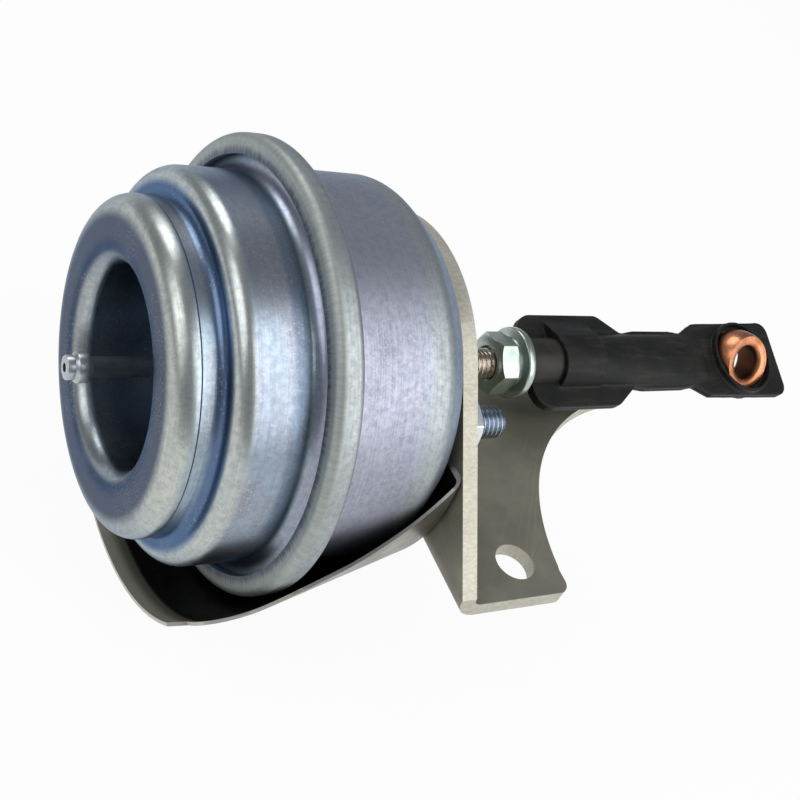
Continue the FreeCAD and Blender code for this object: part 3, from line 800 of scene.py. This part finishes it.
# pressed L-bracket: a round-topped plate, a tight bend and a leg with a crescent
bracket = {
    "front": 22.5,
    "rear": 25.0,
    "top": 24.0,
    "nearEdge": -40.0,
    "farEdge": 11.0,
    "legTop": -8.0,
    "legUnder": -10.5,
    "bend": 1.5,
    "notch": 1.2,
    "crescent": (82.4, -40.0, 39.1),
    "holes": [(36.2, -33.6), (71.0, 5.1)],
    "mountHole": (3.2, -12.0, -6.0),
    "guideHole": (7.0, 21.0, 27.0),
    "studHole": (2.8, 21.0, 27.0),
    "ear": 8.2,
    "tip": 2.0,
    "tipRun": (0.06, 4.0),
    "overlap": 0.01,
    "edgeRound": 0.25,
}


def bracketPlate():
    bendTop = bracket["legTop"] + bracket["bend"]
    span = math.hypot(bracket["nearEdge"], bendTop)
    touch = math.degrees(math.atan2(bendTop, -bracket["nearEdge"]) + math.acos(bracket["top"] / span))
    notchY = bracket["farEdge"] + bracket["notch"]
    foot = -math.degrees(math.acos(notchY / bracket["top"]))
    outline = [(bracket["nearEdge"], bendTop)]
    outline += arcSpots((0, 0), bracket["top"], 180 - touch, foot, 72)
    outline += [
        (notchY, bendTop + bracket["notch"]),
        (bracket["farEdge"], bendTop + bracket["notch"]),
        (bracket["farEdge"], bendTop),
    ]
    corners = [(bracket["front"], y, z) for y, z in outline]
    return tracePiece("bracketPlate", corners, (bracket["rear"] - bracket["front"], 0, 0))


def bracketBend():
    # the quarter ring of the bend, which runs a little way into the plate and the leg
    over = bracket["overlap"]
    inner = bracket["bend"]
    outer = inner + bracket["rear"] - bracket["front"]
    centre = (bracket["rear"] + inner, bracket["legTop"] + inner)
    outline = [(bracket["rear"], centre[1] + over)]
    outline += arcSpots(centre, inner, 180, 270, 10)
    outline += [(centre[0] + over, bracket["legTop"]), (centre[0] + over, bracket["legUnder"])]
    outline += arcSpots(centre, outer, 270, 180, 10)
    outline += [(bracket["front"], centre[1] + over)]
    corners = [(x, bracket["nearEdge"], z) for x, z in outline]
    return tracePiece("bend", corners, (0, bracket["farEdge"] - bracket["nearEdge"], 0))


def bracketLeg():
    # from the bend out to the rounded tip, round the crescent to the ear, and back
    start = bracket["rear"] + bracket["bend"]
    near = bracket["nearEdge"]
    earX, earY = bracket["holes"][1]
    cx, cy, cr = bracket["crescent"]
    runX, runY = bracket["tipRun"]
    tipX = cx - cr
    corners = roundOutline([(start, near, 0), (tipX, near, bracket["tip"]), (tipX + runX, near + runY, 0)])
    first = 180 - math.degrees(math.asin(runY / cr))
    reach = math.hypot(earX - cx, earY - cy)
    spread = math.degrees(math.acos((cr ** 2 + reach ** 2 - bracket["ear"] ** 2) / (2 * cr * reach)))
    earAngle = math.degrees(math.atan2(earY - cy, earX - cx))
    last = earAngle - spread if bracket["ear"] + reach > cr else earAngle
    corners += arcSpots((cx, cy), cr, first, last, 60)[1:]
    endX, endY = corners[-1]
    fromAngle = math.degrees(math.atan2(endY - earY, endX - earX))
    corners += arcSpots((earX, earY), bracket["ear"], fromAngle, 90, 24)[1:]
    corners += [(start, bracket["farEdge"])]
    under = bracket["legUnder"]
    return tracePiece("leg", [(x, y, under) for x, y in corners], (0, 0, bracket["legTop"] - under))


mountBracket = bracketPlate()
carve(mountBracket, bracketBend(), "UNION")
carve(mountBracket, bracketLeg(), "UNION")
carve(mountBracket, rodAlong("drill", *bracket["guideHole"]))
for y, z in studPlaces.values():
    carve(mountBracket, rodAlong("drill", *bracket["studHole"], y, z, 48))
holeRadius, holeLow, holeHigh = bracket["mountHole"]
for x, y in bracket["holes"]:
    carve(mountBracket, upright("drill", holeRadius, x, y, holeLow, holeHigh))
applyModifier(
    mountBracket,
    "BEVEL",
    width=bracket["edgeRound"] * mm,
    segments=3,
    limit_method="ANGLE",
    angle_limit=math.radians(50),
)
finishPiece(mountBracket, bracketSkin, "canister", "bracket", "bracket")
print("bracket made")

# weld studs, washers and nuts
stud = {
    "shank": [(19.8, 3.8, 0.2), (20.6, 3.8, 0.0), (20.6, 2.5, 0.0), (27.0, 2.5, 0.0)],
    "thread": {"start": 26.2, "turns": 13, "radius": 2.5, "pitch": 0.8},
    "envelope": [(26.0, 2.6, 0.0), (35.0, 2.6, 0.0), (35.7, 1.9, 0.2)],
    "washer": [(25.0, 2.8, 0.1), (25.0, 4.8, 0.15), (26.0, 4.8, 0.25), (26.0, 2.8, 0.1)],
    "nut": {"flats": 8.0, "start": 26.0, "end": 30.0, "turn": 20.0},
    "bore": [
        (25.0, 3.0, 0.0),
        (26.0, 2.9, 0.0),
        (26.4, 2.56, 0.0),
        (29.6, 2.56, 0.0),
        (30.0, 2.9, 0.0),
        (31.0, 3.0, 0.0),
    ],
}
for side, (y, z) in studPlaces.items():
    weldStud = turnPiece("weldStud." + side, stud["shank"], 64, y, z, True)
    screw = threadPiece("screw", y=y, z=z, **stud["thread"])
    carve(screw, turnPiece("envelope", stud["envelope"], 64, y, z, True), "INTERSECT")
    joinPieces(weldStud, screw)
    finishPiece(weldStud, studZinc, "canister", "stud", "stud_" + side)
    washer = turnPiece("studWasher." + side, stud["washer"], 64, y, z)
    finishPiece(washer, washerZinc, "canister", "washer", "stud_washer_" + side)
    nut = hexPiece("studNut." + side, y=y, z=z, **stud["nut"])
    carve(nut, turnPiece("bore", stud["bore"], 64, y, z, True))
    finishPiece(nut, brightZinc, "canister", "nut", "stud_nut_" + side)
print("studs made")

# rod: plain where it runs in the guide, threaded from there to its tip
rod = {
    "section": [
        (12.4, 3.4, 0.5),
        (13.2, 3.4, 0.0),
        (13.2, 2.0, 0.0),
        (16.8, 2.0, 0.0),
        (16.8, 2.5, 0.0),
        (38.3, 2.5, 0.0),
        (38.8, 2.0, 0.0),
    ],
    "thread": {"start": 37.8, "turns": 33, "radius": 2.5, "pitch": 0.8},
}
actuatorRod = turnPiece("actuatorRod", rod["section"], 64, solid=True)
joinPieces(actuatorRod, threadPiece("rodThread", **rod["thread"]))
finishPiece(actuatorRod, rodSteel, "rod", "rod", "actuator_rod")

# flanged locknut: hexagon, neck and flange on one thread
flangedNut = {
    "hexagon": {"flats": 9.1, "start": 44.5, "end": 48.1, "turn": 42.4},
    "flange": [(47.6, 4.4, 0.0), (48.9, 4.4, 0.15), (48.9, 6.0, 0.4), (50.4, 6.0, 0.3), (50.4, 4.4, 0.0)],
    "bore": [(44.0, 3.2, 0.0), (44.5, 2.95, 0.0), (44.9, 2.56, 0.0), (51.0, 2.56, 0.0)],
}
lockNut = hexPiece("lockNut", **flangedNut["hexagon"])
carve(lockNut, turnPiece("flange", flangedNut["flange"], 96, solid=True), "UNION")
carve(lockNut, turnPiece("bore", flangedNut["bore"], 64, solid=True))
finishPiece(lockNut, nutZinc, "locknut", "nut", "locknut")
print("rod and nut made")

# rod end: two pressed halves round a threaded sleeve and a ball
rodEnd = {
    "tilt": 22.0,
    "sheet": 0.9,
    "half": [
        (52.3, 8.5, 3.4),
        (70.7, 8.5, 2.5),
        (75.5, 5.1, 1.5),
        (78.2, 5.55, 2.0),
        (87.8, 5.55, 2.0),
        (90.4, 5.15, 1.0),
        (94.2, 7.15, 0.8),
        (114.5, 7.6, 2.2),
    ],
    "strap": (58.0, 67.0, 5.0),
    "strapSlope": [(0.0, 0.0), (0.0, 5.0), (1.6, 4.75), (3.2, 4.1), (7.6, 0.9), (7.6, 0.0)],
    "arm": [(66.0, 4.8, 4.2), (75.4, 5.0, 3.7), (83.4, 5.2, 3.1), (89.4, 5.4, 2.3), (94.4, 5.4, 1.4)],
    "sleeve": (50.4, 65.4, 4.2),
    "sleeveBore": 2.55,
    "room": (40.0, 120.0, 12.0),
    "eye": 104.2,
    "collar": (7.1, 2.1),
    "mouth": (6.55, 1.0, 4.0),
    "socket": 6.0,
    "voxel": 0.18,
    "softening": 5,
}


def tiltPiece(piece):
    startEdit(piece)
    bpy.ops.transform.rotate(value=-math.radians(rodEnd["tilt"]), orient_axis="X", center_override=place(0))
    bpy.ops.object.mode_set(mode="OBJECT")


def upTube(name, radius, low, high):
    return upright(name, radius, rodEnd["eye"], 0, low, high)


def sideKeeper(side):
    # the room that one pressed half may fill
    start, end, reach = rodEnd["room"]
    corners = [(start, -reach, 0), (end, -reach, 0), (end, reach, 0), (start, reach, 0)]
    return tracePiece("keep", corners, (0, 0, side * reach))


def strapPiece(side):
    # the loop over the sleeve: a steep wall near the camera, a slope into the far wing
    start, end, radius = rodEnd["strap"]
    wall = [(start, y, side * z) for y, z in rodEnd["strapSlope"]]
    strap = rodAlong("strap", radius, start, end)
    carve(strap, sideKeeper(side), "INTERSECT")
    return joinPieces(strap, tracePiece("wall", wall, (end - start, 0, 0)))


def armPiece(side):
    # a flattened half tube, its rings drawn out one from another
    clearSelection()
    x, half, height = rodEnd["arm"][0]
    bpy.ops.mesh.primitive_circle_add(
        vertices=64, radius=half * mm, fill_type="NGON", location=place(x), rotation=(0, math.pi / 2, 0)
    )
    arm = newPiece("arm")
    startEdit(arm)
    bpy.ops.transform.resize(value=(1, 1, height / half), center_override=place(x))
    for nextX, nextHalf, nextHeight in rodEnd["arm"][1:]:
        bpy.ops.mesh.extrude_region_move(TRANSFORM_OT_translate={"value": ((nextX - x) * mm, 0, 0)})
        grow = (1, nextHalf / half, nextHeight / height)
        bpy.ops.transform.resize(value=grow, center_override=place(nextX))
        x, half, height = nextX, nextHalf, nextHeight
    faceOutward(arm)
    carve(arm, sideKeeper(side), "INTERSECT")
    return arm


def rodEndHalf(name, side):
    # flat sheet with strap, arm and collar joined on, softened as pressed sheet, then bored
    mirrored = [(x, -y, rounding) for x, y, rounding in reversed(rodEnd["half"])]
    outline = roundOutline(rodEnd["half"] + mirrored)
    shell = tracePiece(name, [(x, y, 0) for x, y in outline], (0, 0, side * rodEnd["sheet"]))
    radius, height = rodEnd["collar"]
    low, high = sorted((0, side * height))
    joinPieces(shell, strapPiece(side), armPiece(side), upTube("collar", radius, low, high))
    applyModifier(shell, "REMESH", mode="VOXEL", voxel_size=rodEnd["voxel"] * mm)
    applyModifier(shell, "SMOOTH", factor=0.5, iterations=rodEnd["softening"])
    start, end, radius = rodEnd["sleeve"]
    carve(shell, rodAlong("bore", radius + 0.03, start - 1, end))
    clearSelection()
    bpy.ops.mesh.primitive_uv_sphere_add(
        segments=96, ring_count=48, radius=rodEnd["socket"] * mm, location=place(rodEnd["eye"])
    )
    carve(shell, newPiece("socket"))
    mouthRadius, mouthFloor, mouthTop = rodEnd["mouth"]
    low, high = sorted((side * mouthFloor, side * mouthTop))
    carve(shell, upTube("mouth", mouthRadius, low, high))
    tiltPiece(shell)
    return shell


for name, side, node in (("rodEndFront", 1, "rod_end_front"), ("rodEndRear", -1, "rod_end_rear")):
    finishPiece(rodEndHalf(name, side), blackSteel, "rod", "black_steel", node, angle=40)

start, end, radius = rodEnd["sleeve"]
bore = rodEnd["sleeveBore"]
sleeveSection = [(start, bore, 0.2), (start, radius, 0.3), (end, radius, 0.3), (end, bore, 0.0)]
sleeve = turnPiece("rodEndSleeve", sleeveSection, 64)
finishPiece(sleeve, sleeveSteel, "rod", "black_steel", "rod_end_sleeve")

# swivel ball: its section is turned about the bore, then it is swung into the attitude it hangs at
ball = {"radius": 5.87, "half": 3.0, "bore": 2.95, "mouth": 1.3, "swivel": 32.0}


def swivelBall():
    eye = rodEnd["eye"]
    half = ball["half"]
    mouth = ball["mouth"]
    front = arcSpots((eye + half - mouth, ball["bore"] + mouth), mouth, 270, 360, 12)
    face = math.degrees(math.acos(half / ball["radius"]))
    outside = arcSpots((eye, 0.0), ball["radius"], face, 180 - face, 32)
    rear = [(2 * eye - x, radius) for x, radius in reversed(front)]
    swung = turnPiece("swivelBall", [(x, radius, 0) for x, radius in front + outside + rear], 128)
    startEdit(swung)
    bpy.ops.transform.rotate(value=math.pi / 2, orient_axis="Y", center_override=place(eye))
    bpy.ops.transform.rotate(value=-math.radians(ball["swivel"]), orient_axis="X", center_override=place(eye))
    bpy.ops.object.mode_set(mode="OBJECT")
    tiltPiece(swung)
    return swung


finishPiece(swivelBall(), bronzeFinish(), "ball", "bronze", "swivel_ball")
print("rod end made")


# spring and diaphragm: merged copies of their solids
softParts = {
    "returnSpring": {"node": "return_spring", "slot": "spring", "finish": springSteel, "fixed": -17.7},
    "rollingDiaphragm": {"node": "diaphragm", "slot": "rubber", "finish": blackRubber, "fixed": 0.0},
}


def softPart(name, part):
    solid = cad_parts[part["node"]]
    piece = solid.copy()
    piece.data = solid.data.copy()
    piece.name = name
    bpy.context.scene.collection.objects.link(piece)
    startEdit(piece)
    bpy.ops.mesh.remove_doubles(threshold=1e-6)
    bpy.ops.object.mode_set(mode="OBJECT")
    finishPiece(piece, part["finish"], "canister", part["slot"], part["node"])
    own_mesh(piece)


for name, part in softParts.items():
    softPart(name, part)

# the other inner pieces keep their solids
for node, finish in {
    "piston_cup": pressedSteel,
    "diaphragm_retainer": pressedSteel,
    "spring_seat": naturalPlastic,
    "rivet_washer": washerZinc,
    "stop_washer": blackRubber,
    "rod_guide": guidePlastic,
    "rod_seal": blackRubber,
    "guide_clip": washerZinc,
}.items():
    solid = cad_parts[node]
    solid.data.materials.clear()
    solid.data.materials.append(finish)

# floor, white to the camera and in the metal, with a faint shadow
clearSelection()
bpy.ops.mesh.primitive_plane_add(size=6, location=(0, 0, cadBox[0].z - 0.0002))
floor = newPiece("floor")
floorFinish = Finish("paleFloor")
direct = floorFinish.node("LightPath", {}, {}, "Is Camera Ray")
mirrored = Signal(floorFinish.tree, direct.socket.node.outputs["Is Glossy Ray"])
through = Signal(floorFinish.tree, direct.socket.node.outputs["Is Transmission Ray"])
seen = direct + mirrored + through
matt = floorFinish.node("BsdfDiffuse", {}, {"Color": (0.85, 0.85, 0.85)})
white = floorFinish.node("Emission", {}, {"Color": (1, 1, 1), "Strength": 1.0})
mixed = floorFinish.node("MixShader", {}, {0: seen * 0.94, 1: matt, 2: white})
floorFinish.node("OutputMaterial", {}, {"Surface": mixed})
floor.data.materials.append(floorFinish.material)

# camera at the photograph's viewing angle
camera = bpy.data.objects.new("camera", bpy.data.cameras.new("camera"))
bpy.context.scene.collection.objects.link(camera)
camera.matrix_world = Matrix(
    (
        (0.8371637, 0.0249026, -0.5463880, -0.1312149),
        (-0.3895891, 0.7283128, -0.5637232, -0.0983905),
        (0.3839031, 0.6847955, 0.6194161, 0.1258860),
        (0.0, 0.0, 0.0, 1.0),
    )
)
camera.data.sensor_width = 36.0
camera.data.lens = 55.296
camera.data.clip_start = 0.005
camera.data.clip_end = 20.0
bpy.context.scene.camera = camera

# lamps, placed by directions in the camera's own right, up and back
target = Vector((-0.02, 0.0, 0.005))
lamps = {
    "rightSoft": {"from": (0.86, -0.08, 0.48), "far": 0.6, "size": (0.5, 0.74), "power": 2.8},
    "frontSoft": {"from": (-0.4, 0.4, 0.82), "far": 0.6, "size": (0.4, 0.4), "power": 0.9},
    "topSoft": {"from": (-0.1, 0.95, 0.1), "far": 0.7, "size": (0.4, 0.3), "power": 1.2},
}
turnToWorld = camera.matrix_world.to_3x3()
for name, lamp in lamps.items():
    data = bpy.data.lights.new(name, "AREA")
    data.shape = "RECTANGLE"
    data.size, data.size_y = lamp["size"]
    data.energy = lamp["power"]
    light = bpy.data.objects.new(name, data)
    bpy.context.scene.collection.objects.link(light)
    way = turnToWorld @ Vector(lamp["from"]).normalized()
    light.location = target + way * lamp["far"]
    light.rotation_euler = way.to_track_quat("Z", "Y").to_euler()

# room: white to the camera, grey to everything that mirrors it
world = bpy.data.worlds.new("studio")
bpy.context.scene.world = world
world.use_nodes = True
room = Finish("studio", world.node_tree)
direct = room.node("LightPath", {}, {}, "Is Camera Ray")
grey = room.node("Background", {}, {"Color": (0.25, 0.26, 0.28), "Strength": 1.0})
white = room.node("Background", {}, {"Color": (1, 1, 1), "Strength": 1.0})
backdrop = room.node("MixShader", {}, {0: direct, 1: grey, 2: white})
room.node("OutputWorld", {}, {"Surface": backdrop})

bpy.context.scene.view_settings.view_transform = "Standard"
print("stage set")
